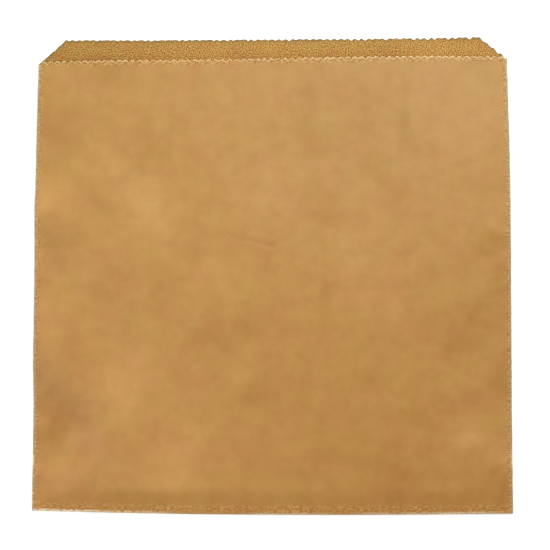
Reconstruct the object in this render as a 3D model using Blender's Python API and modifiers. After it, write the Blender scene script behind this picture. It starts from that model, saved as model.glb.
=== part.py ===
# Flat square paper sandwich bag, lying on its seamed back with the mouth towards +Y.
#
# One web of kraft paper is cut by a stepped, serrated knife, folded into a tube, glued
# down the middle of the back, folded under at the bottom and glued again. The flat blank
# is drawn first, in u (round the tube) and v (up the bag), and every point of it is then
# folded to its place, so the bag comes out as one sheet with its edges and folds.

from math import ceil, cos, dist, floor, pi, sin

import bmesh
import bpy
from mathutils import Vector

MM = 0.001

# Size of the finished bag
BAG_WIDTH = 215 * MM            # from side fold to side fold
BACK_HEIGHT = 215.5 * MM        # from the bottom fold to the tips of the lip's teeth
LIP_HEIGHT = 9.5 * MM           # the back stands this far above the front
LIP_CORNER_INSET = 2 * MM       # the lip's slanted ends start this far in from the side folds
LIP_CORNER_RUN = 11 * MM        # and come in this much further by the top

# Serrated cut
TOOTH_PITCH = 3.175 * MM        # eight teeth to the inch
TOOTH_DEPTH = 1.0 * MM
SLANT_TOOTH_DEPTH = 0.35 * MM   # the knife bites less on the slanted ends

# Centre seam on the back
SEAM_OVERLAP = 12 * MM
SEAM_STEP_LENGTH = 3 * MM       # the outer layer dips under the inner one over this length
SEAM_GLUE_WIDTH = 6 * MM
SEAM_GLUE_MARGIN = 6 * MM       # the glue stops this far short of the mouth and the tongue

# Bottom, folded under and glued to the back
BACK_FLAP = 9 * MM              # folded length of the back layer
TONGUE_INSET = 1.5 * MM         # the front layer's tongue starts this far in from the side folds
TONGUE_CORNER = 3 * MM          # size of its slanted corners
TONGUE_GLUE_WIDTH = 3 * MM
TONGUE_GLUE_MARGIN = 1.4 * MM   # from the glue to the valleys of the tongue's teeth
TONGUE_GLUE_INSET = 8 * MM      # from the ends of the glue to the side folds
BOTTOM_BOW = 1.7 * MM           # the bottom fold bows out this much at the middle
BOW_LENGTH = 25 * MM            # and the panels take up the bow over this length

# Paper and the air between its layers
PAPER = 0.08 * MM
LAYER_GAP = 0.05 * MM           # between layers that are pressed together
SIDE_FOLD_GAP = 0.22 * MM       # left open inside a side fold
BOTTOM_FOLD_GAP = 0.16 * MM     # left open inside the bottom fold
GLUE_BITE = 0.02 * MM           # the glue soaks this far into each layer

# Gentle fullness, as a bag keeps after it has been opened once
PUFF_HEIGHT = 7.5 * MM          # front over back at the fullest place
PUFF_LENGTH = 110 * MM          # from the bottom fold to the fullest place
MOUTH_GAP = 5 * MM              # front over back at the mouth
SIDE_LIFT = 2.5 * MM            # the side folds rise this far off the table
SIDE_LIFT_LENGTH = 110 * MM     # over this length, from the tongue on
FLAT_SHARE = 0.45               # share of the back's width that stays on the table
SETTLE_LENGTH = 26 * MM         # the back comes down from the thick bottom over this length

# Fineness of the folded surface
FOLD_STEPS = 4                  # facets round a fold
PANEL_STEPS = 10                # facets across half a panel
ROW_PITCH = 20 * MM             # length of the facets up the panels
SAME_PLACE = 0.01 * MM

# Radii and heights of the middle of the paper
FOLD_RADIUS = (PAPER + SIDE_FOLD_GAP) / 2
PANEL_HALF = BAG_WIDTH / 2 - PAPER / 2 - FOLD_RADIUS
SEAM_STEP = PAPER + LAYER_GAP
SEAM_HALF = SEAM_OVERLAP / 2
BOTTOM_RADIUS = SEAM_STEP + (PAPER + BOTTOM_FOLD_GAP) / 2
NEUTRAL_RADIUS = BOTTOM_RADIUS + FOLD_RADIUS
BEND_LENGTH = pi * NEUTRAL_RADIUS
BOTTOM_REACH = BOTTOM_BOW + BOTTOM_RADIUS + 2 * FOLD_RADIUS + PAPER / 2
TONGUE_DROP = SEAM_STEP + PAPER + LAYER_GAP
BACK_BASE = SEAM_STEP + PAPER / 2
FLAP_BASE = 2 * BOTTOM_RADIUS + 2 * FOLD_RADIUS + PAPER / 2

# Heights on the blank, from the bottom fold
BACK_TOP = BACK_HEIGHT - BOTTOM_REACH
FRONT_TOP = BACK_TOP - LIP_HEIGHT
TONGUE_END = BACK_FLAP + LIP_HEIGHT
TONGUE_RISE = BACK_FLAP + TOOTH_DEPTH
GLUE_END = TONGUE_END - TOOTH_DEPTH - TONGUE_GLUE_MARGIN
GLUE_START = GLUE_END - TONGUE_GLUE_WIDTH
BAG_CENTRE = Vector((0, (BACK_TOP - BOTTOM_REACH) / 2, 0))

# Where each panel starts along u, from the seam's inner edge round the tube
LEFT_FOLD = SEAM_HALF + PANEL_HALF
FRONT_START = LEFT_FOLD + pi * FOLD_RADIUS
RIGHT_FOLD = FRONT_START + 2 * PANEL_HALF
BACK_START = RIGHT_FOLD + pi * FOLD_RADIUS


def smooth(t):
    """Ease from 0 to 1."""
    t = min(max(t, 0), 1)
    return t * t * (3 - 2 * t)


def back_left_u(x):
    return SEAM_HALF - x


def front_u(x):
    return FRONT_START + PANEL_HALF + x


def back_right_u(x):
    return BACK_START + PANEL_HALF - x


def is_front(u):
    return FRONT_START <= u <= RIGHT_FOLD


def cross_section(u):
    """Place across the flat tube, and height over the back layer."""
    if u <= LEFT_FOLD:
        return SEAM_HALF - u, 0
    if u < FRONT_START:
        turn = (u - LEFT_FOLD) / FOLD_RADIUS
        return -PANEL_HALF - FOLD_RADIUS * sin(turn), FOLD_RADIUS * (1 - cos(turn))
    if u <= RIGHT_FOLD:
        return u - FRONT_START - PANEL_HALF, 2 * FOLD_RADIUS
    if u < BACK_START:
        turn = (u - RIGHT_FOLD) / FOLD_RADIUS
        return PANEL_HALF + FOLD_RADIUS * sin(turn), FOLD_RADIUS * (1 + cos(turn))
    x = PANEL_HALF - (u - BACK_START)
    return x, -SEAM_STEP * smooth((SEAM_HALF + SEAM_STEP_LENGTH - x) / SEAM_STEP_LENGTH)


def height_at(x, v, front):
    """Height of the front or the back over the table, from how full the bag is."""
    base = FLAP_BASE + (BACK_BASE - FLAP_BASE) * smooth((v - TONGUE_END) / SETTLE_LENGTH)
    lift = SIDE_LIFT * smooth((v - TONGUE_END) / SIDE_LIFT_LENGTH)
    side = min(abs(x) / PANEL_HALF, 1)
    if not front:
        return base + lift * (max(side - FLAT_SHARE, 0) / (1 - FLAT_SHARE)) ** 2
    opening = 1 - (1 - min(v / PUFF_LENGTH, 1)) ** 2
    closing = smooth((v - PUFF_LENGTH) / (FRONT_TOP - PUFF_LENGTH))
    puff = PUFF_HEIGHT * opening - (PUFF_HEIGHT - MOUTH_GAP) * closing
    return base + puff + (lift - puff) * side ** 2


def fold(u, v, outwards):
    """Fold a point of the blank, or a point that lies outwards of the sheet there."""
    x, over = cross_section(u)
    bow = BOTTOM_BOW * (1 - min(abs(x) / PANEL_HALF, 1) ** 2)
    if v >= 0:
        y = v - bow * (1 - smooth(v / BOW_LENGTH))
        return Vector((x, y, height_at(x, v, is_front(u)) + over - outwards))
    turn = min(-v / NEUTRAL_RADIUS, pi)
    past = max(-v - BEND_LENGTH, 0)
    if is_front(u):
        on_back = TONGUE_DROP - 2 * BOTTOM_RADIUS
        over += (on_back - over) * smooth((-v - TONGUE_RISE) / (GLUE_START - TONGUE_RISE))
    radius = BOTTOM_RADIUS + over - outwards
    z = height_at(x, past, False) - BOTTOM_RADIUS + radius * cos(turn)
    return Vector((x, past - bow - radius * sin(turn), z))


def teeth(x_from, x_to):
    """Places of the tips (0) and valleys (1) of the cut strictly between two places."""
    half = TOOTH_PITCH / 2
    low, high = min(x_from, x_to), max(x_from, x_to)
    first = ceil((low + half / 4) / half)
    last = floor((high - half / 4) / half)
    places = [(k * half, k % 2) for k in range(first, last + 1)]
    return places if x_to > x_from else places[::-1]


def slanted_cut(start, end):
    """Points of a slanted cut with small teeth that bite down into the paper."""
    count = int(dist(start, end) / TOOTH_PITCH) * 2
    points = []
    for k in range(count + 1):
        share = k / count
        bite = SLANT_TOOTH_DEPTH * (k % 2)
        u = start[0] + (end[0] - start[0]) * share
        points.append((u, start[1] + (end[1] - start[1]) * share - bite))
    return points


def top_edge():
    """Stepped cut at the mouth, from the seam's inner edge round to its outer edge."""
    foot = BAG_WIDTH / 2 - LIP_CORNER_INSET
    lip_half = foot - LIP_CORNER_RUN
    back_cut = BACK_TOP - TOOTH_DEPTH
    front_cut = FRONT_TOP - TOOTH_DEPTH
    edge = [(back_left_u(SEAM_HALF), back_cut)]
    edge += [(back_left_u(x), BACK_TOP - TOOTH_DEPTH * dip) for x, dip in teeth(SEAM_HALF, -lip_half)]
    edge += slanted_cut((back_left_u(-lip_half), back_cut), (back_left_u(-foot), front_cut))
    edge += [(front_u(-foot), front_cut)]
    edge += [(front_u(x), FRONT_TOP - TOOTH_DEPTH * dip) for x, dip in teeth(-foot, foot)]
    edge += [(front_u(foot), front_cut)]
    edge += slanted_cut((back_right_u(foot), front_cut), (back_right_u(lip_half), back_cut))
    edge += [(back_right_u(x), BACK_TOP - TOOTH_DEPTH * dip) for x, dip in teeth(lip_half, -SEAM_HALF)]
    edge += [(back_right_u(-SEAM_HALF), back_cut)]
    return edge


def bottom_edge():
    """The cut at the other end of the blank, which ends up folded under the back."""
    side = BAG_WIDTH / 2 - TONGUE_INSET
    end = side - TONGUE_CORNER
    back_tip, back_cut = -BACK_FLAP, TOOTH_DEPTH - BACK_FLAP
    tongue_tip, tongue_cut = -TONGUE_END, TOOTH_DEPTH - TONGUE_END
    edge = [(back_left_u(SEAM_HALF), back_cut)]
    edge += [(back_left_u(x), back_tip + TOOTH_DEPTH * dip) for x, dip in teeth(SEAM_HALF, -side)]
    edge += [(back_left_u(-side), back_cut), (front_u(-side), back_cut)]
    edge += [(front_u(-side), tongue_cut + TONGUE_CORNER), (front_u(-end), tongue_cut)]
    edge += [(front_u(x), tongue_tip + TOOTH_DEPTH * dip) for x, dip in teeth(-end, end)]
    edge += [(front_u(end), tongue_cut), (front_u(side), tongue_cut + TONGUE_CORNER)]
    edge += [(front_u(side), back_cut), (back_right_u(side), back_cut)]
    edge += [(back_right_u(x), back_tip + TOOTH_DEPTH * dip) for x, dip in teeth(side, -SEAM_HALF)]
    edge += [(back_right_u(-SEAM_HALF), back_cut)]
    return edge


def spread(low, high, count):
    return [low + (high - low) * step / count for step in range(count + 1)]


def lines_along():
    """Places round the tube where the sheet may bend."""
    shares = [sin(pi / 2 * step / PANEL_STEPS) for step in range(PANEL_STEPS + 1)]
    places = sorted({share * side * PANEL_HALF for share in shares for side in (-1, 1)})
    step_end = SEAM_HALF + SEAM_STEP_LENGTH
    lines = [front_u(x) for x in places]
    lines += [back_left_u(x) for x in places if x < -SEAM_HALF]
    lines += [back_right_u(x) for x in places if x > step_end]
    lines += [back_left_u(-SEAM_HALF)]
    lines += [back_right_u(x) for x in spread(SEAM_HALF, step_end, FOLD_STEPS)]
    lines += spread(LEFT_FOLD, FRONT_START, FOLD_STEPS)
    lines += spread(RIGHT_FOLD, BACK_START, FOLD_STEPS)
    return lines


def lines_across():
    """Places up the bag where the sheet may bend."""
    settled = TONGUE_END + SETTLE_LENGTH
    last_row = FRONT_TOP - TOOTH_DEPTH - ROW_PITCH / 3
    lines = spread(-BEND_LENGTH, 0, 2 * FOLD_STEPS)
    lines += [-v for v in spread(TONGUE_RISE, GLUE_START, FOLD_STEPS)]
    lines += spread(0, TONGUE_END, FOLD_STEPS)
    lines += spread(TONGUE_END, settled, FOLD_STEPS + 1)
    lines += spread(settled, last_row, ceil((last_row - settled) / ROW_PITCH))
    return lines


def folded_sheet(name, outline, thickness, material, outwards=0):
    """Cut an outline of the blank into facets, fold it and give it its thickness."""
    bm = bmesh.new()
    bm.faces.new([bm.verts.new((u, v, 0)) for u, v in outline])
    cuts = [((u, 0, 0), (1, 0, 0)) for u in lines_along()]
    cuts += [((0, v, 0), (0, 1, 0)) for v in lines_across()]
    for point, normal in cuts:
        everything = bm.verts[:] + bm.edges[:] + bm.faces[:]
        bmesh.ops.bisect_plane(bm, geom=everything, dist=SAME_PLACE, plane_co=point, plane_no=normal)
    bmesh.ops.triangulate(bm, faces=bm.faces[:], quad_method="SHORT_EDGE", ngon_method="BEAUTY")
    for vert in bm.verts:
        vert.co = fold(vert.co.x, vert.co.y, outwards) - BAG_CENTRE
    bm.normal_update()
    mesh = bpy.data.meshes.new(name)
    bm.to_mesh(mesh)
    bm.free()
    mesh.materials.append(material)
    sheet = bpy.data.objects.new(name, mesh)
    solidify = sheet.modifiers.new("Thickness", "SOLIDIFY")
    solidify.thickness = thickness
    solidify.offset = 0
    solidify.use_even_offset = True
    return sheet


def rectangle(u_low, u_high, v_low, v_high):
    return [(u_low, v_low), (u_high, v_low), (u_high, v_high), (u_low, v_high)]


def seam_glue(material):
    """Glue between the two layers of the centre seam, above the folded bottom."""
    half = SEAM_GLUE_WIDTH / 2
    low = TONGUE_END + SEAM_GLUE_MARGIN
    high = BACK_TOP - SEAM_GLUE_MARGIN
    outline = rectangle(back_left_u(half), back_left_u(-half), low, high)
    return folded_sheet("seam_glue", outline, LAYER_GAP + 2 * GLUE_BITE, material, SEAM_STEP / 2)


def tongue_glue(material):
    """Glue between the back and the tongue that is folded under it."""
    half = BAG_WIDTH / 2 - TONGUE_GLUE_INSET
    outline = rectangle(front_u(-half), front_u(half), -GLUE_END, -GLUE_START)
    thickness = TONGUE_DROP - PAPER + 2 * GLUE_BITE
    return folded_sheet("tongue_glue", outline, thickness, material, TONGUE_DROP / 2)


def kraft_paper():
    """Brown machine-glazed kraft."""
    material = bpy.data.materials.new("kraft_paper")
    material.use_nodes = True
    shader = material.node_tree.nodes["Principled BSDF"]
    shader.inputs["Base Color"].default_value = (0.53, 0.29, 0.1, 1)
    shader.inputs["Roughness"].default_value = 0.6
    shader.inputs["Metallic"].default_value = 0
    material.diffuse_color = (0.53, 0.29, 0.1, 1)
    return material


def new_collection(name):
    collection = bpy.data.collections.new(name)
    bpy.context.scene.collection.children.link(collection)
    return collection


def build_bag():
    for thing in list(bpy.data.objects):
        bpy.data.objects.remove(thing)
    bag_parts = new_collection("Paper sandwich bag")
    glue_parts = new_collection("Glue")
    material = kraft_paper()
    bag = folded_sheet("paper_bag", bottom_edge() + top_edge()[::-1], PAPER, material)
    bag_parts.objects.link(bag)
    for glue in (seam_glue(material), tongue_glue(material)):
        glue_parts.objects.link(glue)
        glue.hide_render = True
        glue.display_type = "WIRE"
        union = bag.modifiers.new(glue.name, "BOOLEAN")
        union.operation = "UNION"
        union.solver = "EXACT"
        union.object = glue


build_bag()
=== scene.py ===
# Brown kraft sandwich bag lying on its seamed back, mouth towards +Y, as it was laid down after use.
# One sheet: the flat blank is drawn in u (round the tube) and v (up the bag), folded point by
# point, then given the leans, ripples and creases that handling leaves in the paper.

from math import copysign, cos, exp, pi, radians, sin
from random import Random

import bmesh
import bpy
from mathutils import Matrix, Vector, noise


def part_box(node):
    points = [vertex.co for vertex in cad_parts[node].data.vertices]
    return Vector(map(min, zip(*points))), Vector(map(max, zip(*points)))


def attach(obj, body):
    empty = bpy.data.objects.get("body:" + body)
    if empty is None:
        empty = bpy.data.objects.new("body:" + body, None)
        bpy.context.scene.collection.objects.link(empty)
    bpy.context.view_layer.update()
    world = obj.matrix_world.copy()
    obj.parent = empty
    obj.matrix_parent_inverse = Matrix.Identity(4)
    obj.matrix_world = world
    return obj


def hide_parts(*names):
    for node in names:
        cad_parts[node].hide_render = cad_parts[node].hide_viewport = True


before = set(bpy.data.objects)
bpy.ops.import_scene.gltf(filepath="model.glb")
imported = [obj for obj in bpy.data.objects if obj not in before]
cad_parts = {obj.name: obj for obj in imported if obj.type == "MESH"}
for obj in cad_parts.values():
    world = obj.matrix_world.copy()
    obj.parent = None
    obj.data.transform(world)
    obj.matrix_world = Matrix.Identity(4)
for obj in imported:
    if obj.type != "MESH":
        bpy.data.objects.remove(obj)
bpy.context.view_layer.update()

mm = 0.001


# The folded sheet

bag = {                          # mm
    "lipHeight": 9.5,            # the back stands this far above the front
    "lipInset": (0, 0.4),        # the lip's slanted ends start this far in, left and right
    "lipRun": (12.4, 12.3),      # and come in this much further by the top
    "cornerDrop": (1.3, 0.4),    # the front is cut lower at its two corners, left and right
    "cornerLength": 2.5,
    "frontSkew": (0.7, -0.25),   # its cut runs a little out of square, lower by this at left and right
    "frontDip": (0.65, -25, 38),         # and dips by this much around this x, over this half width
    "toothPitch": 3.175,         # eight teeth to the inch
    "frontToothDepth": 1.1,
    "lipToothDepth": (0.3, 0.68),        # at the left and the right end of the lip
    "slantToothDepth": (0.05, 0.8),      # left and right, at the foot of the slanted ends
    "toothWander": (0.35, 0.7),  # share by which the bite of the knife varies, front and back
    "toothSeed": 5,
    "toothFade": 2.6,            # the sheet beside the cut moves with it over this length
    "seamOverlap": 12,
    "seamStepLength": 3,         # the outer layer of the seam comes up to the back over this length
    "backFlap": 9,               # folded length of the back layer
    "tongueInset": 1.5,          # the tongue beyond it is this much narrower at each side
    "tongueCorner": 3,           # and slants in this far at its corners
    "tongueStart": 1,            # it starts down to the back this far past the back layer's end
    "tongueDown": 2.5,           # and comes down over this length
    "bottomBow": 1.7,            # the bottom fold bows out this much at the middle
    "cornerRise": (1.4, 0.9),    # of which this much is lost by the corners, left and right
    "bowLength": 25,
    "paper": 0.08,
    "layerGap": 0.05,
    "sideFoldGap": 0.22,
    "bottomFoldGap": 0.16,
    "stripLength": 3,            # the bottom is pressed flat over this length
    "stripRise": 0.4,            # and rounded up by this much
    "shoulder": 1.1,             # the front steps up above it
    "shoulderLength": 8,
    "shoulderSpread": 6,         # power; the higher it is, the nearer to the side folds the step holds
    "puffHeight": 7,             # front over back at the fullest place
    "puffLength": 110,
    "mouthGap": 5,
    "mouthDraw": 0.8,            # the open mouth draws the side folds in by this much
    "mouthDrawLength": 65,
    "mouthRoll": 0.15,           # the cut edge of the front turns down this much
    "mouthRollLength": 1.5,
    "sideLift": 2.5,             # the side folds rise this far off the table
    "sideLiftLength": 110,
    "flatShare": 0.45,           # share of the back's width that stays on the table
    "settleLength": 26,          # above the bottom's layers the back comes down to the table over this
    "sideWander": 0.1,           # the side folds run in and out by this much
    "sideWanderLength": 4,       # over this length, and the paper beside them over this width
    "smoothAngle": 50,           # degrees
}

facets = {                       # mm; how finely the flat blank is drawn
    "row": 1.7,                  # up the panels
    "fineRows": (114, 126),      # half as long from here to here, for the creases at the middle
    "seamSteps": 3,              # facets over half the seam's overlap
    "seamStep": 0.75,
    "seamClear": 1,              # no other columns stand this close to the seam's step
    "nearFold": (0, 0.35, 0.8, 1.4),
    "nearLipEnd": (-0.4, 0, 0.4),
    "foldSteps": 6,              # facets round a side fold
    "bendSteps": 8,              # and round the bottom fold
    "bendClear": 0.3,
    "under": (0, 0.02, 0.06, 0.15, 0.3, 0.45, 0.6, 0.75, 0.9, 1),      # shares of the folded end
    "strip": (0.4, 0.8, 1.3, 1.8, 2.3, 2.6, 2.8, 3.0, 3.2, 3.4, 3.8),
    "mouth": (4, 3.1, 2.3, 1.6, 1.05, 0.6, 0.3, 0.12, 0),              # below the cut
    "mouthLength": 5,
    "tooth": 0.4,                # along a cut
    "toothBand": 2.4,            # and this far in from it
    "mostCuts": 11,              # no edge is cut more often than this
}

boxLow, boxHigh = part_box("paper_bag")
width, height = (boxHigh - boxLow).xy / mm
foldRadius = (bag["paper"] + bag["sideFoldGap"]) / 2
panelHalf = width / 2 - bag["paper"] / 2 - foldRadius
seamStep = bag["paper"] + bag["layerGap"]
seamHalf = bag["seamOverlap"] / 2
bottomRadius = seamStep + (bag["paper"] + bag["bottomFoldGap"]) / 2
neutralRadius = bottomRadius + foldRadius
bendLength = pi * neutralRadius
bottomReach = bag["bottomBow"] + bottomRadius + 2 * foldRadius + bag["paper"] / 2
tongueDrop = seamStep + bag["paper"] + bag["layerGap"]
backBase = seamStep + bag["paper"] / 2
flapBase = 2 * bottomRadius + 2 * foldRadius + bag["paper"] / 2
backTop = height - bottomReach
frontTop = backTop - bag["lipHeight"]
tongueEnd = bag["backFlap"] + bag["lipHeight"]
centreY = (backTop - bottomReach) / 2
leftFold = seamHalf + panelHalf              # where each panel starts along u
frontStart = leftFold + pi * foldRadius
rightFold = frontStart + 2 * panelHalf
backStart = rightFold + pi * foldRadius
blankWidth = backStart + panelHalf + seamHalf
blankHeight = backTop + tongueEnd


def smooth(t):
    t = min(max(t, 0), 1)
    return t * t * (3 - 2 * t)


def near(gap, length):           # 1 at the line, 0 from this far on
    return 1 - smooth(gap / length)


def isFront(u):
    return frontStart <= u <= rightFold


def crossSection(u):             # place across the flat tube, and height over the back layer
    if u <= leftFold:
        return seamHalf - u, 0
    if u < frontStart:
        turn = (u - leftFold) / foldRadius
        return -panelHalf - foldRadius * sin(turn), foldRadius * (1 - cos(turn))
    if u <= rightFold:
        return u - frontStart - panelHalf, 2 * foldRadius
    if u < backStart:
        turn = (u - rightFold) / foldRadius
        return panelHalf + foldRadius * sin(turn), foldRadius * (1 + cos(turn))
    x = panelHalf - (u - backStart)
    return x, -seamStep * smooth((seamHalf + bag["seamStepLength"] - x) / bag["seamStepLength"])


def heightAt(x, v, front):       # from how full the bag is
    base = flapBase + (backBase - flapBase) * smooth((v - tongueEnd) / bag["settleLength"])
    lift = bag["sideLift"] * smooth((v - tongueEnd) / bag["sideLiftLength"])
    side = min(abs(x) / panelHalf, 1)
    if not front:
        return base + lift * (max(side - bag["flatShare"], 0) / (1 - bag["flatShare"])) ** 2
    up = max(v - bag["stripLength"], 0)
    opening = 1 - (1 - min(up / bag["puffLength"], 1)) ** 2
    closing = smooth((v - bag["puffLength"]) / (frontTop - bag["puffLength"]))
    puff = bag["puffHeight"] * opening - (bag["puffHeight"] - bag["mouthGap"]) * closing
    strip = bag["stripRise"] * (1 - (1 - min(max(v, 0) / bag["stripLength"], 1)) ** 2)
    step = strip + bag["shoulder"] * smooth(up / bag["shoulderLength"])
    roll = bag["mouthRoll"] * max((v - frontTop) / bag["mouthRollLength"] + 1, 0) ** 2
    return base + puff + (lift - puff) * side ** 2 + (step - roll) * (1 - side ** bag["shoulderSpread"])


def fold(u, v):
    x, over = crossSection(u)
    side = min(abs(x) / panelHalf, 1)
    x *= 1 - bag["mouthDraw"] / panelHalf * smooth((v - frontTop) / bag["mouthDrawLength"] + 1)
    wanderLength = bag["sideWanderLength"]
    beside = smooth(1 - (panelHalf - abs(x)) / wanderLength)
    x += bag["sideWander"] * beside * noise.noise((x, v / wanderLength, 0))
    bow = bag["bottomBow"] - bag["cornerRise"][x > 0] * side ** 2
    if v >= 0:
        y = v - bow * (1 - smooth(v / bag["bowLength"]))
        return Vector((x, y, heightAt(x, v, isFront(u)) + over))
    turn = min(-v / neutralRadius, pi)
    past = max(-v - bendLength, 0)
    if isFront(u):               # beyond the back layer's end the tongue comes down on the back
        onBack = tongueDrop - 2 * bottomRadius
        beyond = past + bendLength - bag["backFlap"] - bag["tongueStart"]
        over += (onBack - over) * smooth(beyond / bag["tongueDown"])
    radius = bottomRadius + over
    z = heightAt(x, past, False) - bottomRadius + radius * cos(turn)
    return Vector((x, past - bow - radius * sin(turn), z))


def frontCut(x):                 # line through the tips of the front's teeth
    left, right = bag["frontSkew"]
    dip, dipX, dipHalf = bag["frontDip"]
    drop = left + (right - left) * (x / width + 0.5) + dip * exp(-((x - dipX) / dipHalf) ** 2 / 2)
    return frontTop - drop - bag["cornerDrop"][x > 0] * near(panelHalf - abs(x), bag["cornerLength"])


def topCut(u):                   # the same line all round: front, slanted ends and top of the lip
    x = crossSection(u)[0]
    if isFront(u):
        return frontCut(x)
    foot = frontCut(copysign(panelHalf, x))
    rise = (width / 2 - bag["lipInset"][x > 0] - abs(x)) / bag["lipRun"][x > 0]
    return foot + (backTop - foot) * min(max(rise, 0), 1)


def bottomCut(u):                # the cut at the other end of the blank, folded under the back
    side = width / 2 - bag["tongueInset"] - abs(crossSection(u)[0])
    reach = min(max(side / bag["tongueCorner"], 0), 1) if isFront(u) else 0
    return -bag["backFlap"] - bag["lipHeight"] * reach


knife = Random(bag["toothSeed"])
bites = [knife.uniform(-1, 1) for count in range(round(blankWidth / bag["toothPitch"]) + 1)]


def tooth(u):                    # how deep the knife bit at this place
    x = crossSection(u)[0]
    wave = cos(pi * x / bag["toothPitch"])
    bite = bites[round(u / bag["toothPitch"])]
    if isFront(u):               # rounded teeth with narrow valleys
        return bag["frontToothDepth"] * (1 + bag["toothWander"][0] * bite) * (1 - abs(wave))
    down = smooth((abs(x) - width / 2 + bag["lipInset"][x > 0]) / bag["lipRun"][x > 0] + 1)
    left, right = bag["lipToothDepth"]
    depth = left + (right - left) * (x / width + 0.5)
    depth += (bag["slantToothDepth"][x > 0] - depth) * down
    return depth * (1 + bag["toothWander"][1] * bite) * (1 - wave ** 2)


def stepsTo(low, high, pitch):
    count = max(round((high - low) / pitch), 1)
    return [low + (high - low) * step / count for step in range(count + 1)]


def columns():                   # places along u, closer together near a fold and a corner
    nearFold = [panelHalf - gap for gap in facets["nearFold"]]
    lipEnds = [width / 2 - inset - run for inset, run in zip(bag["lipInset"], bag["lipRun"])]
    stepEnd = seamHalf + bag["seamStepLength"]
    foldStep = foldRadius * pi / facets["foldSteps"]
    seamPitch = seamHalf / facets["seamSteps"]
    front = stepsTo(0, nearFold[-1], bag["toothPitch"] / 2) + nearFold
    back = stepsTo(seamHalf, nearFold[-1], bag["toothPitch"])[1:] + nearFold
    back += [lipEnd + gap for lipEnd in lipEnds for gap in facets["nearLipEnd"]]
    places = stepsTo(0, 2 * seamHalf, seamPitch)
    places += [seamHalf + x for x in back]
    places += stepsTo(leftFold, frontStart, foldStep)
    places += [frontStart + panelHalf + side * x for x in front for side in (-1, 1)]
    places += stepsTo(rightFold, backStart, foldStep)
    places += [backStart + panelHalf - x for x in back if x > stepEnd + facets["seamClear"]]
    places += [backStart + panelHalf - x for x in stepsTo(seamHalf, stepEnd, facets["seamStep"])]
    places += [backStart + panelHalf - x for x in stepsTo(-seamHalf, seamHalf, seamPitch)]
    return sorted({round(place, 4) for place in places})


def rows(u):                     # places along v; the ends are squeezed or stretched to the cuts
    low, high = bottomCut(u), topCut(u)
    bendEnd = -bendLength - facets["bendClear"]
    lastRow = frontTop - facets["mouthLength"]
    places = [low + (bendEnd - low) * share for share in facets["under"]]
    places += stepsTo(-bendLength, 0, bendLength / facets["bendSteps"])
    places += facets["strip"]
    fineStart, fineEnd = facets["fineRows"]
    for end, share in ((fineStart, 1), (fineEnd, 0.5), (lastRow, 1)):
        places += stepsTo(places[-1], end, facets["row"] * share)[1:]
    squeeze = (high - lastRow) / facets["mouthLength"]
    return places + [high - squeeze * gap for gap in facets["mouth"]]


# What handling did to the paper

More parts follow.
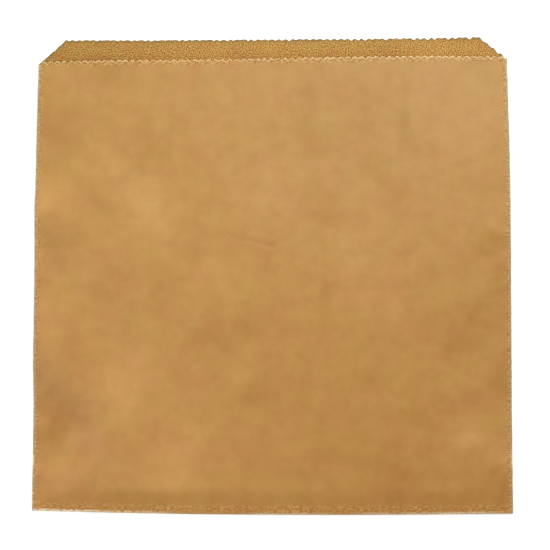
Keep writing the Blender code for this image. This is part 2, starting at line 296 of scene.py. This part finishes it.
handling = {
    "seed": 3,
    # Soft dents: x and y from the bag's centre and radius in mm, and strength, above 0 where the
    # patch leans to the mouth, below 0 where it leans away. Each dent is also painted paler or darker
    # with its lean: painted light and shade.
    "dents": [
        (-79, 95, 4, -0.8), (-71, 91, 4, -0.7), (-97, 69, 7, -0.9), (-96, 58, 5, -0.7), (-57, 55, 6, -0.5),
        (-75, 51, 7, 0.6), (59, 68, 3.5, -0.7), (61, 61, 3, -0.6), (20, 56, 5, -0.3), (45, 50, 6, -0.5),
        (50, 42, 4, -0.4), (58, 33, 4, -0.9), (24, 28, 4, -0.7), (19, 37, 4, -0.4), (8, 46, 7, 0.3),
        (-102, 35, 6, 1.4), (-93, 31, 4, 0.6), (-104, 22, 5, -0.7), (-75, 29, 3.5, -0.9), (-56, 33, 8, 1.1),
        (-50, 23, 8, 0.4), (-5, 32, 9, 0.5), (-98, 14, 6, -0.8), (-97, 7, 4, -0.7), (-88, 16, 4, -0.4),
        (-35, 12, 5, -0.3), (37, 12, 7, 0.4), (97, 12, 5, -0.7), (102, 17, 4, -0.4), (36, 1, 5, 0.6),
        (55, 2, 5, 0.5), (103, -5, 4, -0.6), (-102, -14, 4, 0.7), (-92, -12, 5, 0.4), (-76, -8, 5, -0.7),
        (-50, -5, 5, -0.4), (-25, 0, 7, 0.8), (40, -13, 4.5, 0.9), (56, -13, 4, 0.9), (24, -8, 3, -0.4),
        (62, -8, 3, -0.4), (88, -19, 5, -0.7), (97, -18, 5, -0.5), (72, -21, 4, -0.4), (-102, -26, 5, 0.9),
        (-94, -36, 5, -0.4), (-34, -25, 5, -0.5), (-26, -30, 5, -0.7), (-10, -28, 6, -0.6), (85, -31, 4, -1),
        (-97, -60, 11, -1.7), (-105, -50, 5, -0.6), (-100, -72, 5, -0.7), (-73, -46, 7, 1.1),
        (-60, -41, 6, 0.9), (-65, -57, 7, 1.1), (-14, -43, 4, 0.5), (-7, -55, 5, -0.8), (40, -48, 4, -0.4),
        (103, -50, 4, -0.8), (88, -50, 7, 0.3), (88, -71, 5, 1.6), (66, -65, 5, -0.4), (5, -75, 5, 0.4),
        (-38, -72, 5, 0.4), (-94, -86, 8, 0.8), (-45, -86, 7, 1.1), (-47, -94, 5, 0.6), (27, -87, 6, -0.3),
        (46, -82, 5, -0.5), (52, -89, 6, -0.5), (60, -94, 5, -0.5), (105, -84, 3, 1.4), (101, -93, 4, -1),
        (-48, -64, 18, 0.5), (-30, -90, 15, 0.5), (-62, 20, 12, 0.3), (20, 85, 12, -0.3),
        (50, 84, 12, -0.3), (16, 58, 13, -0.25), (99, 70, 14, 0.35), (97, -80, 9, 0.45),
        (-102, -46, 8, -0.5), (-88, -66, 6, -0.7), (-90, -104, 8, -0.55), (-70, -104, 6, -0.4),
        (-4, -99, 9, 0.4), (36, -99, 8, 0.35), (-42, -102, 9, 0.4), (-100, 88, 8, 0.25), (-93, 42, 7, 0.25),
        (101, 28, 6, 0.3), (40, 66, 9, -0.35), (63, 52, 7, -0.35), (76, 93, 7, 0.25), (14, -101, 7, 0.35),
        (-106, -30, 2.5, -1.1), (-106, -44, 3, -1.2), (-105, -66, 2.5, 0.9), (-105, -77, 3, -1),
        (-105, -93, 3, -1.1), (-105, 20, 2.5, -0.9), (-105, 6, 2.5, 0.9), (-105, -20, 2, -0.9),
        (-105, 33, 2, 0.9), (-106, 50, 2.5, -0.8), (105, -40, 2.5, -0.8), (105, 2, 2.5, -0.8),
        (106, -62, 2.5, 0.8), (105, 22, 2, 0.8),
    ],
    "mouthwards": (0.2, 1.0),    # the way the dents lean
    "dentLean": 0.08,            # rise over run at the middle of a dent of strength 1
    "dentStretch": 1.7,          # dents are this much longer along their lean
    "dentWarp": (9, 3.5),        # mm; dents are bent out of round, over this length by this much
    "warpSeed": 2,
    "dentEnd": (4, 5),           # nothing is left of a dent this many radii away, in x and in y
    # Creases: from x and y to x and y, depth and half width, all in mm.
    "creases": [
        (-18, 16.8, -8, 14.4, 0.18, 0.8), (-7, 14.2, 1, 11.8, 0.25, 0.8), (1, 11.8, 7, 16, 0.15, 1.2),
        (18, 84, 17, 52, 0.14, 2.5), (60, 82, 59, 60, 0.16, 2), (24, 12, 25, -18, 0.12, 2),
        (61, 12, 62, -18, 0.14, 2), (-45, 80, -46, 55, 0.1, 2), (42, 82, 43, 62, 0.1, 2),
        (-98, 45.5, -90, 49, 0.15, 1.0), (-107, 26, -97, 26, 0.15, 1.2), (-107, -10, -101, -10, 0.2, 1.0),
        (98, -89, 107.3, -84, 0.35, 1.1), (104, -90, 103, -104, 0.2, 1.2),
        (-107, -84.5, -102, -83, 0.35, 1.0), (-107, -86, -103, -86.5, -0.3, 1.0),
        (102, -85, 107.3, -82, -0.3, 1.0), (-78.7, -97, -78.7, -91, 0.15, 0.9),
        (-106, 84, -99, 79, 0.2, 1.2), (-107, 12, -99, 15, 0.2, 1.2), (-107, 5, -98, 6, 0.2, 1.0),
        (-107, -4.5, -99, -3, 0.2, 1.0), (99, -10, 106, -7, 0.2, 1.2), (-107, 57, -101, 54, 0.2, 1.0),
        (101, -34, 107, -37, 0.2, 1.0),
    ],
    "creaseEnd": 4,              # half widths away where nothing is left of a crease
    # Frayed stretches of the folds: x, y, radius in mm and strength.
    "frays": [
        (-103, -107, 5, 1.0), (-93, -107, 7, 1.1), (-82, -107, 8, 0.9), (-66, -107, 9, 0.7),
        (-52, -107, 7, 0.6), (-2, -107, 6, 0.6), (14, -107, 9, 0.4), (48, -107, 8, 0.4),
        (66, -107, 8, 0.5), (80, -107, 6, 0.8), (92, -107, 8, 0.7), (-107, -98, 5, 0.6), (-107, -84, 3, 1.2),
        (-107, -60, 10, 0.3), (-107, -5, 8, 0.4), (-106, 40, 10, 0.3), (-106, 92, 6, 0.7),
        (106, 92, 6, 0.9), (107, 40, 10, 0.3), (107, -20, 10, 0.3), (107, -82.5, 3, 1.2),
    ],
    "ripples": [(34, 0.15), (13, 0.06), (5, 0.03)],    # mm, length and height
    "edgeShare": 25,             # mm; near a side fold, front and back move together
    "bottomHold": (12, 30),      # mm; the pressed bottom steadies the front and the side folds over these
    "leastRoom": 0.01,           # mm, between two layers
}


noise.seed_set(handling["warpSeed"])     # vector noise would otherwise start from the clock


def dents(x, y):                 # height of the soft dents, and their painted light and shade
    length, reach = handling["dentWarp"]
    warp = noise.turbulence_vector((x / length, y / length, 0), 3, False) * reach
    aheadX, aheadY = Vector(handling["mouthwards"]).normalized()
    endX, endY = handling["dentEnd"]
    height = paintedShading = 0
    for dentX, dentY, radius, strength in handling["dents"]:
        awayX, awayY = (x - dentX + warp.x) / radius, (y - dentY + warp.y) / radius
        if abs(awayX) > endX or abs(awayY) > endY:
            continue
        along = awayX * aheadX + awayY * aheadY
        across = awayX ** 2 + awayY ** 2 - along ** 2
        spread = exp(-across / 2 - along ** 2 / 2 / handling["dentStretch"] ** 2)
        height -= strength * handling["dentLean"] * radius * along * spread
        paintedShading += strength * exp(-(awayX ** 2 + awayY ** 2) / 2)
    return height, paintedShading


def frays(x, y):
    total = 0
    for frayX, frayY, radius, strength in handling["frays"]:
        total += strength * exp(-((x - frayX) ** 2 + (y - frayY) ** 2) / radius ** 2)
    return total


def creases(x, y):
    height = 0
    for startX, startY, endX, endY, depth, halfWidth in handling["creases"]:
        start, run = Vector((startX, startY)), Vector((endX - startX, endY - startY))
        share = (Vector((x, y)) - start).dot(run) / run.length_squared
        away = (Vector((x, y)) - start - run * min(max(share, 0), 1)).length / halfWidth
        if away < handling["creaseEnd"]:
            height -= depth * exp(-away ** 2)
    return height


def ripples(x, y):
    place = Vector((x, y, handling["seed"] * 10))
    return sum(size * noise.noise(place / length) for length, size in handling["ripples"])


def held(change, room):          # a dent goes no deeper than the room under it
    return change if change > 0 else -room * (1 - exp(change / max(room, handling["leastRoom"])))


def sculpt(u, v, place, dent, crease):
    x, y = place.x, place.y - centreY
    frontHold, sideHold = handling["bottomHold"]
    change = (dent + ripples(x, y)) * smooth(v / frontHold)
    share = 1 - smooth((panelHalf - abs(x)) / handling["edgeShare"])
    backHeight = heightAt(x, v, False)
    both = held(change * share * smooth(v / sideHold), backHeight - bag["paper"])
    if not isFront(u):
        return place + Vector((0, 0, both))
    gap = heightAt(x, v, True) - backHeight + 2 * foldRadius - 2 * bag["paper"]
    return place + Vector((0, 0, both + held(change * (1 - share) + crease, gap)))


# Where the paper is worn, and where shade is painted on it. Each mark is a strength and the width in mm over
# which it fades.

wear = {
    "sideEdge": (0.8, 1.8),      # rubbed along the side folds, and painted shade where they turn away from the light
    "bottomEdge": (0.3, 1),      # along the bottom fold
    "stripEdge": (0.15, 0.4),    # and along the upper edge of the pressed strip
    "fray": (0.8, 0.8),          # fibres torn up on the folds
    "sideFrayGap": 0.1,          # mm; a little less of them on the side folds
    "sideFibre": (1.6, 3.5),     # fibre shows through along the side folds
    "mouthFibre": (2.3, 1.5),    # and beside the cut
    "mouthFibreStart": 1.5,      # mm, full up to here
    "stripFibreFade": 0.8,       # mm
    "stripPatches": (0.9, 1.1, 14),      # in the strip it comes and goes: mean, swing, length in mm
    "fibreShare": (0.65, 0.1),   # share of it that shows, and what fraying adds
    "creasePaintedShade": 3,             # painted shade in the creases: darkening for each mm of a crease's depth
    "sidePaintedShade": (0.9, 0.2),      # painted shade along the lower side folds, left and right
    "sidePaintedShadeWidth": 4,          # mm
    "sidePaintedShadeTop": (-5, 30),     # mm; full up to this y, gone this much higher
    "bottomPaintedShade": (0.8, 7),      # painted shade just above the bottom, where the front's shoulder faces away from the light
    "bottomPaintedShadeTop": 5,          # mm, full up to here
    "frayLeast": 0.9,            # fibres frayed more than this shade the paper beside them
    "frayShadow": (6, 0.5),
    "frayShadowGap": 0.8,        # mm above the bottom fold
}


def mark(name, gap):
    strength, fade = wear[name]
    return strength * near(gap, fade)


def wornAt(u, v, cutGap, frayed):        # strengths that the finishes read from the sheet
    sideGap = max(panelHalf - abs(crossSection(u)[0]), 0)
    bottomGap = max(v, -v - bendLength, 0)
    stripGap = v - bag["stripLength"]
    strip = mouth = 0
    if v > 0:
        mean, swing, length = wear["stripPatches"]
        patchy = mean + swing * noise.noise((u / length, 0, handling["seed"]))
        strip = patchy * near(stripGap, wear["stripFibreFade"])
        mouth = mark("mouthFibre", cutGap - wear["mouthFibreStart"])
    share, more = wear["fibreShare"]
    edge = max(mark("sideEdge", sideGap), mark("bottomEdge", bottomGap))
    return {
        "foldEdge": edge + mark("stripEdge", abs(stripGap)),
        "fray": frayed * mark("fray", min(sideGap + wear["sideFrayGap"], bottomGap)),
        "pressed": max(strip, mark("sideFibre", sideGap), mouth) * (share + more * frayed),
    }


def paintedShadeAt(x, v, frayed, crease):        # painted shade of creases, folds and frays, darker below 0
    sideTop, sideFade = wear["sidePaintedShadeTop"]
    side = wear["sidePaintedShade"][x > 0] * near(panelHalf - abs(x), wear["sidePaintedShadeWidth"])
    side *= near(v - centreY - sideTop, sideFade)
    bottom = mark("bottomPaintedShade", v - wear["bottomPaintedShadeTop"])
    shadow = max(frayed - wear["frayLeast"], 0) * mark("frayShadow", abs(v - wear["frayShadowGap"]))
    return wear["creasePaintedShade"] * crease - side - bottom - shadow


def drawBlank(bm, cutGap, uvs):
    grid = []
    for u in columns():
        line = rows(u)
        grid.append([bm.verts.new((u, v, 0)) for v in line])
        for vert in grid[-1]:
            vert[cutGap] = min(line[-1] - vert.co.y, vert.co.y - line[0])
    for left, right in zip(grid, grid[1:]):
        for k in range(len(left) - 1):
            bm.faces.new((left[k], right[k], right[k + 1], left[k + 1]))
    for cuts in range(1, facets["mostCuts"] + 1):      # finer along the cuts, to round the teeth
        edges = []
        for edge in bm.edges:
            first, second = edge.verts
            runsAcross = abs(first.co.x - second.co.x) > abs(first.co.y - second.co.y) / 2
            atCut = max(first[cutGap], second[cutGap]) < facets["toothBand"]
            if runsAcross and atCut and round(edge.calc_length() / facets["tooth"]) == cuts + 1:
                edges.append(edge)
        bmesh.ops.subdivide_edges(bm, edges=edges, cuts=cuts, use_grid_fill=True)
    for face in bm.faces:
        for loop in face.loops:
            loop[uvs].uv = (loop.vert.co.x / blankWidth, (loop.vert.co.y + tongueEnd) / blankHeight)


def makeBag(finishes):
    bm = bmesh.new()
    cutGap = bm.verts.layers.float.new("cutGap")
    layers = {name: bm.verts.layers.float.new(name) for name in ("paintedShading", "foldEdge", "fray", "pressed")}
    drawBlank(bm, cutGap, bm.loops.layers.uv.new("blank"))
    for vert in bm.verts:
        u, v = vert.co.xy
        bite = tooth(u) * near(vert[cutGap], bag["toothFade"])
        v -= bite if v > 0 else -bite
        place = fold(u, v)
        x, y = place.x, place.y - centreY
        flatX = crossSection(u)[0]
        frayed = frays(x, y)
        for name, strength in wornAt(u, v, vert[cutGap], frayed).items():
            vert[layers[name]] = strength
        if v > 0 and (isFront(u) or panelHalf - abs(flatX) < handling["edgeShare"]):
            dent, paintedShading = dents(x, y)
            crease = creases(x, y) if isFront(u) else 0
            if isFront(u):
                vert[layers["paintedShading"]] = paintedShading + paintedShadeAt(flatX, v, frayed, crease)
            place = sculpt(u, v, place, dent, crease)
        vert.co = (place - Vector((0, centreY, 0))) * mm
    mesh = bpy.data.meshes.new("sandwichBag")
    bm.to_mesh(mesh)
    bm.free()
    for finish in finishes:
        mesh.materials.append(finish)
    piece = bpy.data.objects.new("sandwichBag", mesh)
    bpy.context.scene.collection.objects.link(piece)
    bpy.ops.object.select_all(action="DESELECT")
    bpy.context.view_layer.objects.active = piece
    piece.select_set(True)
    thickness = piece.modifiers.new("Paper", "SOLIDIFY")
    thickness.thickness = bag["paper"] * mm
    thickness.offset = 0
    thickness.use_even_offset = True
    thickness.material_offset = 1
    thickness.material_offset_rim = 2
    bpy.ops.object.modifier_apply(modifier=thickness.name)
    bpy.ops.object.shade_smooth_by_angle(angle=radians(bag["smoothAngle"]))
    return piece


# Finishes

def linear(hexColour):           # sRGB hex to the linear colour that Blender works in
    values = [int(hexColour[k:k + 2], 16) / 255 for k in (1, 3, 5)]
    return [c / 12.92 if c <= 0.04045 else ((c + 0.055) / 1.055) ** 2.4 for c in values] + [1]


def addNode(tree, kind, links=(), output=0, **settings):         # links by socket name or in order
    node = tree.nodes.new("ShaderNode" + kind)
    for name, value in settings.items():
        setattr(node, name, value)
    for socket, value in links.items() if isinstance(links, dict) else enumerate(links):
        if isinstance(value, bpy.types.NodeSocket):
            tree.links.new(value, node.inputs[socket])
        else:
            node.inputs[socket].default_value = value
    return node.outputs[output]


def newMaterial(name):
    material = bpy.data.materials.new(name)
    material.use_nodes = True
    tree = material.node_tree
    return material, tree, tree.nodes["Principled BSDF"]


def blankCoordinates(tree):      # metres on the flat blank, so that patterns have their real size
    uv = addNode(tree, "UVMap", uv_map="blank")
    return addNode(tree, "Mapping", {"Vector": uv, "Scale": (blankWidth * mm, blankHeight * mm, 1)})


kraft = {
    "pale": "#D39E58",
    "dark": "#AB772B",
    "worn": "#FFE9C4",
    # grey-olive of the folds: rubbed paper, and painted shade where a fold turns away from the light
    "rubbedAndShaded": "#B0B288",
    # pale cut fibres, and a painted highlight where the cut edge turns down to the light
    "cutFibresAndHighlight": "#FFDCA0",
    "insidePale": "#F8BD65",
    "insideDark": "#895900",
    # dark olive of the soiled cut edge; the painted light gradient across the lip mixes towards it too
    "insideEdge": "#70683A",
    "ior": 1.47,                 # of cellulose
    # The glazed side. Flecks and fibres are drawn coarser than real ones, so that they show.
    "cloud": 8,                  # mm, size of the largest clouds in the paper's formation
    "cloudShare": 0.72,          # share of the way from dark to pale that they cover
    "paintedShadingShare": 0.19,           # the same for the painted light and shade of a dent of strength 1
    "fibre": (0.5, 2.6),         # mm, across and up the bag
    "fibreDepth": 0.05,          # mm
    "fleck": 0.8,                # mm up the bag
    "fleckStretch": 2,           # and this much longer across it
    # From and to these values of the fleck noise, this much of each kind of wear shows.
    "pressedFlecks": (0.37, 0.63, -0.8, 0.8),
    "rubbedAndShadedFlecks": (0.38, 0.62, 0.3, 0.75),
    "frayedFlecks": (0.35, 0.5, 0.0, 1.0),
    "cutFlecks": (0.36, 0.54, 0.35, 1.0),
    "cutWidth": (0.55, 0.15),    # mm; the cut's pale fibres and the painted highlight of its turned edge show from the first and fully from the second
    # Turns of hue between redder and greener patches of a size in mm. By the mouth the colour is
    # greener than at the bottom by the lean, and weaker by the paling: a painted sheen, lighter and
    # less saturated towards the mouth, where the key light is mirrored.
    "hue": {"patch": 18, "detail": 5.0, "drift": 0.036, "lean": 0.008, "sheenPaling": 0.02},
    "insideHue": {"patch": 9, "detail": 3.0, "drift": 0.06},
    # The unglazed side
    "grain": 0.43,               # mm, nap, drawn coarser too
    "grainContrast": (0.47, 0.52),       # the nap noise from dark to pale
    "grainDepth": 0.1,           # mm
    "insideCloud": 25,           # mm
    "insideClouds": (0.3, 0.7, -0.10, 0.06),
    "handled": 0.27,             # share by which fingers have darkened the lip's left end
    "handledReach": (65, 10),    # mm from the fold; they did so from the first, and fully by the second
    "lipPaintedLightGradient": 0.24,            # share by which the lip is darker towards its cut edge: painted light, paler by the front's edge where the front shades the lip
    "soiled": 0.62,              # and the edge itself
    "soiledWidth": (1.6, 0.4),   # mm, from the first, and fully from the second
    "soiledPatch": 1.2,          # mm
    "soiledPatches": (0.4, 0.6, 0.3, 1.0),
}


def turnHue(tree, colour, place, patch, detail, drift, lean=0.0, sheenPaling=0.0):
    patches = addNode(tree, "TexNoise", {
        "Vector": place, "Scale": 1 / (patch * mm), "Detail": detail, "Roughness": 0.72})
    turn = addNode(tree, "MapRange", {0: patches, 3: 0.5 - drift / 2, 4: 0.5 + drift / 2})
    along = addNode(tree, "SeparateXYZ", [place], 1)
    # Painted sheen: the colour turns greener and weaker towards the mouth.
    leaning = addNode(tree, "MapRange", (along, 0.0, blankHeight * mm, -lean / 2, lean / 2))
    turn = addNode(tree, "Math", (turn, leaning), operation="ADD")
    fade = addNode(tree, "MapRange", (along, 0.0, blankHeight * mm, 1 + sheenPaling, 1 - sheenPaling))
    return addNode(tree, "HueSaturation", {"Hue": turn, "Saturation": fade, "Color": colour})


def glazedKraft():
    # Machine-glazed kraft, dried against a polished cylinder: smooth, faintly cloudy, soft sheen.
    material, tree, shader = newMaterial("machineGlazedKraft")
    place = blankCoordinates(tree)
    paintedShading, pressed, foldEdge, fray, cutGap = [
        addNode(tree, "Attribute", output="Fac", attribute_name=name)
        for name in ("paintedShading", "pressed", "foldEdge", "fray", "cutGap")]

    clouds = addNode(tree, "TexNoise", {
        "Vector": place, "Scale": 1 / (kraft["cloud"] * mm), "Detail": 5.0, "Roughness": 0.6})
    spread = kraft["cloudShare"] / 2
    cloudy = addNode(tree, "MapRange", {0: clouds, 3: 0.5 - spread, 4: 0.5 + spread})
    # painted light and shade of dents, creases and folds, laid over the paper's own clouds
    cloudsAndPaintedShading = addNode(tree, "Math", (paintedShading, kraft["paintedShadingShare"], cloudy), operation="MULTIPLY_ADD")

    streaked = addNode(tree, "Mapping", {"Vector": place, "Scale": (1 / kraft["fleckStretch"], 1, 1)})
    flecks = addNode(tree, "TexNoise", {
        "Vector": streaked, "Scale": 1 / (kraft["fleck"] * mm), "Detail": 2.0, "Roughness": 0.6})
    fibrous = addNode(tree, "MapRange", (flecks, *kraft["pressedFlecks"]))
    fibrous = addNode(tree, "Math", (pressed, fibrous), operation="MULTIPLY")
    share = addNode(tree, "Math", (cloudsAndPaintedShading, fibrous), operation="ADD")
    ends = {6: linear(kraft["dark"]), 7: linear(kraft["pale"])}
    paper = addNode(tree, "Mix", {0: share, **ends}, 2, data_type="RGBA")
    paper = turnHue(tree, paper, place, **kraft["hue"])

    cut = addNode(tree, "MapRange", (cutGap, *kraft["cutWidth"]))
    # Rubbed folds with painted shade, frayed fibres, and the cut's pale fibres with a painted highlight.
    for strength, flecksName, colourName in (
            (foldEdge, "rubbedAndShadedFlecks", "rubbedAndShaded"),
            (fray, "frayedFlecks", "worn"),
            (cut, "cutFlecks", "cutFibresAndHighlight")):
        shown = addNode(tree, "MapRange", (flecks, *kraft[flecksName]))
        shown = addNode(tree, "Math", (strength, shown), operation="MULTIPLY")
        ends = {6: paper, 7: linear(kraft[colourName])}
        paper = addNode(tree, "Mix", {0: shown, **ends}, 2, data_type="RGBA")

    across, along = kraft["fibre"]
    stretched = addNode(tree, "Mapping", {
        "Vector": place, "Scale": (1 / (across * mm), 1 / (along * mm), 1)})
    fibres = addNode(tree, "TexNoise", {"Vector": stretched, "Scale": 1.0, "Detail": 2.0})
    bump = addNode(tree, "Bump", {"Height": fibres, "Strength": 0.15, "Distance": kraft["fibreDepth"] * mm})
    tree.links.new(paper, shader.inputs["Base Color"])
    tree.links.new(bump, shader.inputs["Normal"])
    shader.inputs["Roughness"].default_value = 0.48
    shader.inputs["IOR"].default_value = kraft["ior"]
    return material


def roughKraft():
    # The unglazed side, which never touched the cylinder: rough, grainy and darker.
    material, tree, shader = newMaterial("unglazedKraft")
    place = blankCoordinates(tree)
    cutGap = addNode(tree, "Attribute", output="Fac", attribute_name="cutGap")

    clouds = addNode(tree, "TexNoise", {
        "Vector": place, "Scale": 1 / (kraft["insideCloud"] * mm), "Detail": 0.0})
    cloudy = addNode(tree, "MapRange", (clouds, *kraft["insideClouds"]))
    across = addNode(tree, "SeparateXYZ", [place])
    fromFold = addNode(tree, "Math", (across, leftFold * mm), operation="SUBTRACT")
    fromFold = addNode(tree, "Math", [fromFold], operation="ABSOLUTE")
    far, close = kraft["handledReach"]
    handled = addNode(tree, "MapRange", (fromFold, far * mm, close * mm, 0.0, kraft["handled"]))
    cloudy = addNode(tree, "Math", (cloudy, handled), operation="SUBTRACT")

    grain = addNode(tree, "TexNoise", {"Vector": place, "Scale": 1 / (kraft["grain"] * mm), "Detail": 2.0})
    nap = addNode(tree, "MapRange", (grain, *kraft["grainContrast"]))
    nap = addNode(tree, "Math", (nap, cloudy), operation="ADD")
    ends = {6: linear(kraft["insideDark"]), 7: linear(kraft["insidePale"])}
    paper = addNode(tree, "Mix", {0: nap, **ends}, 2, data_type="RGBA")
    paper = turnHue(tree, paper, place, **kraft["insideHue"])

    # Painted light on the lip: paler by the front's edge, where the front shades it, and darker towards the
    # cut.
    lipPaintedLightGradient = addNode(tree, "MapRange", (cutGap, bag["lipHeight"], 0.0, 0.0, kraft["lipPaintedLightGradient"]))
    patches = addNode(tree, "TexNoise", {
        "Vector": place, "Scale": 1 / (kraft["soiledPatch"] * mm), "Detail": 0.0})
    patchy = addNode(tree, "MapRange", (patches, *kraft["soiledPatches"]))
    soiled = addNode(tree, "MapRange", (cutGap, *kraft["soiledWidth"], 0.0, kraft["soiled"]))
    # Soil along the cut edge, plus the painted light gradient across the lip.
    soiled = addNode(tree, "Math", (soiled, patchy, lipPaintedLightGradient), operation="MULTIPLY_ADD")
    ends = {6: paper, 7: linear(kraft["insideEdge"])}
    paper = addNode(tree, "Mix", {0: soiled, **ends}, 2, data_type="RGBA")

    bump = addNode(tree, "Bump", {"Height": grain, "Strength": 0.6, "Distance": kraft["grainDepth"] * mm})
    tree.links.new(paper, shader.inputs["Base Color"])
    tree.links.new(bump, shader.inputs["Normal"])
    shader.inputs["Roughness"].default_value = 0.8
    shader.inputs["IOR"].default_value = kraft["ior"]
    return material


def cutFibres():
    # Torn and cut fibre ends along the knife's cut: pale and matt.
    material, tree, shader = newMaterial("cutKraftFibres")
    place = blankCoordinates(tree)
    grain = addNode(tree, "TexNoise", {"Vector": place, "Scale": 1 / (kraft["grain"] * mm), "Detail": 2.0})
    ends = {6: linear(kraft["pale"]), 7: linear(kraft["worn"])}
    paper = addNode(tree, "Mix", {0: grain, **ends}, 2, data_type="RGBA")
    tree.links.new(paper, shader.inputs["Base Color"])
    shader.inputs["Roughness"].default_value = 0.9
    return material


# Floor, light and camera

studio = {
    "floorSize": 4.0,            # m
    "floorColour": "#F2F2F0",
    "lamps": {                   # degrees from +Y towards +X and over the table, m away, m wide, W
        "softboxKey": (21, 50, 0.65, 0.4, 2.35),
        "softboxFill": (-115, 42, 0.6, 0.4, 1.05),
    },
    "world": 0.35,               # light from the room; the camera sees it as white
    "glow": 0.45,                # lifts the board to white where nothing shades it
    "cameraDistance": 0.8,       # m
    "cameraTilt": (2.5, -4.7),   # degrees from straight down, towards +X and +Y
    "cameraRoll": 0.1,           # degrees
    "lens": 115.9,               # mm
    "aim": (1.6, -0.3),          # mm from the bag's centre to the middle of the picture
}


def seenRays(tree):              # 1 for the camera and for what is mirrored or seen through
    rays = addNode(tree, "LightPath").node.outputs
    either = addNode(tree, "Math", (rays["Is Camera Ray"], rays["Is Glossy Ray"]), operation="MAXIMUM")
    return addNode(tree, "Math", (either, rays["Is Transmission Ray"]), operation="MAXIMUM")


def makeFloor():
    bpy.ops.mesh.primitive_plane_add(size=studio["floorSize"], location=(0, 0, 0))
    floor = bpy.context.active_object
    floor.name = "floor"
    # Pale matt board, on which only the soft shadow shows.
    material, tree, shader = newMaterial("paleMattBoard")
    shader.inputs["Base Color"].default_value = linear(studio["floorColour"])
    shader.inputs["Roughness"].default_value = 0.9
    shader.inputs["Emission Color"].default_value = (1, 1, 1, 1)
    glow = addNode(tree, "Math", (seenRays(tree), studio["glow"]), operation="MULTIPLY")
    tree.links.new(glow, shader.inputs["Emission Strength"])
    floor.data.materials.append(material)


def makeLight():
    world = bpy.data.worlds.new("softWhiteRoom")
    bpy.context.scene.world = world
    world.use_nodes = True
    tree = world.node_tree
    background = tree.nodes["Background"]
    background.inputs["Color"].default_value = (1, 1, 1, 1)
    strength = addNode(tree, "MapRange", {0: seenRays(tree), 3: studio["world"], 4: 1.0})
    tree.links.new(strength, background.inputs["Strength"])
    for name, (turn, rise, distance, size, power) in studio["lamps"].items():
        turn, rise = radians(turn), radians(rise)
        place = Vector((sin(turn) * cos(rise), cos(turn) * cos(rise), sin(rise))) * distance
        bpy.ops.object.light_add(type="AREA", location=place)
        lamp = bpy.context.active_object
        lamp.name = name
        lamp.rotation_euler = place.to_track_quat("Z", "Y").to_euler()
        lamp.data.size = size
        lamp.data.energy = power


def makeCamera():
    tiltX, tiltY = [radians(angle) for angle in studio["cameraTilt"]]
    target = Vector((*studio["aim"], 0)) * mm
    back = Vector((sin(tiltX), sin(tiltY), 1)).normalized()
    right = Vector((0, 1, 0)).cross(back).normalized()
    up = back.cross(right)
    roll = Matrix.Rotation(radians(studio["cameraRoll"]), 3, back)
    data = bpy.data.cameras.new("camera")
    data.lens = studio["lens"]
    data.clip_start = 0.01
    camera = bpy.data.objects.new("camera", data)
    bpy.context.scene.collection.objects.link(camera)
    turned = Matrix((roll @ right, roll @ up, back)).transposed().to_4x4()
    camera.matrix_world = Matrix.Translation(target + back * studio["cameraDistance"]) @ turned
    bpy.context.scene.camera = camera


print("mixing the paper's finishes")
finishes = [glazedKraft(), roughKraft(), cutFibres()]

print("folding the bag")
sandwichBag = makeBag(finishes)
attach(sandwichBag, "root")
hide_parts("paper_bag")

print("floor, light and camera")
makeFloor()
makeLight()
makeCamera()
bpy.context.scene.view_settings.view_transform = "Standard"
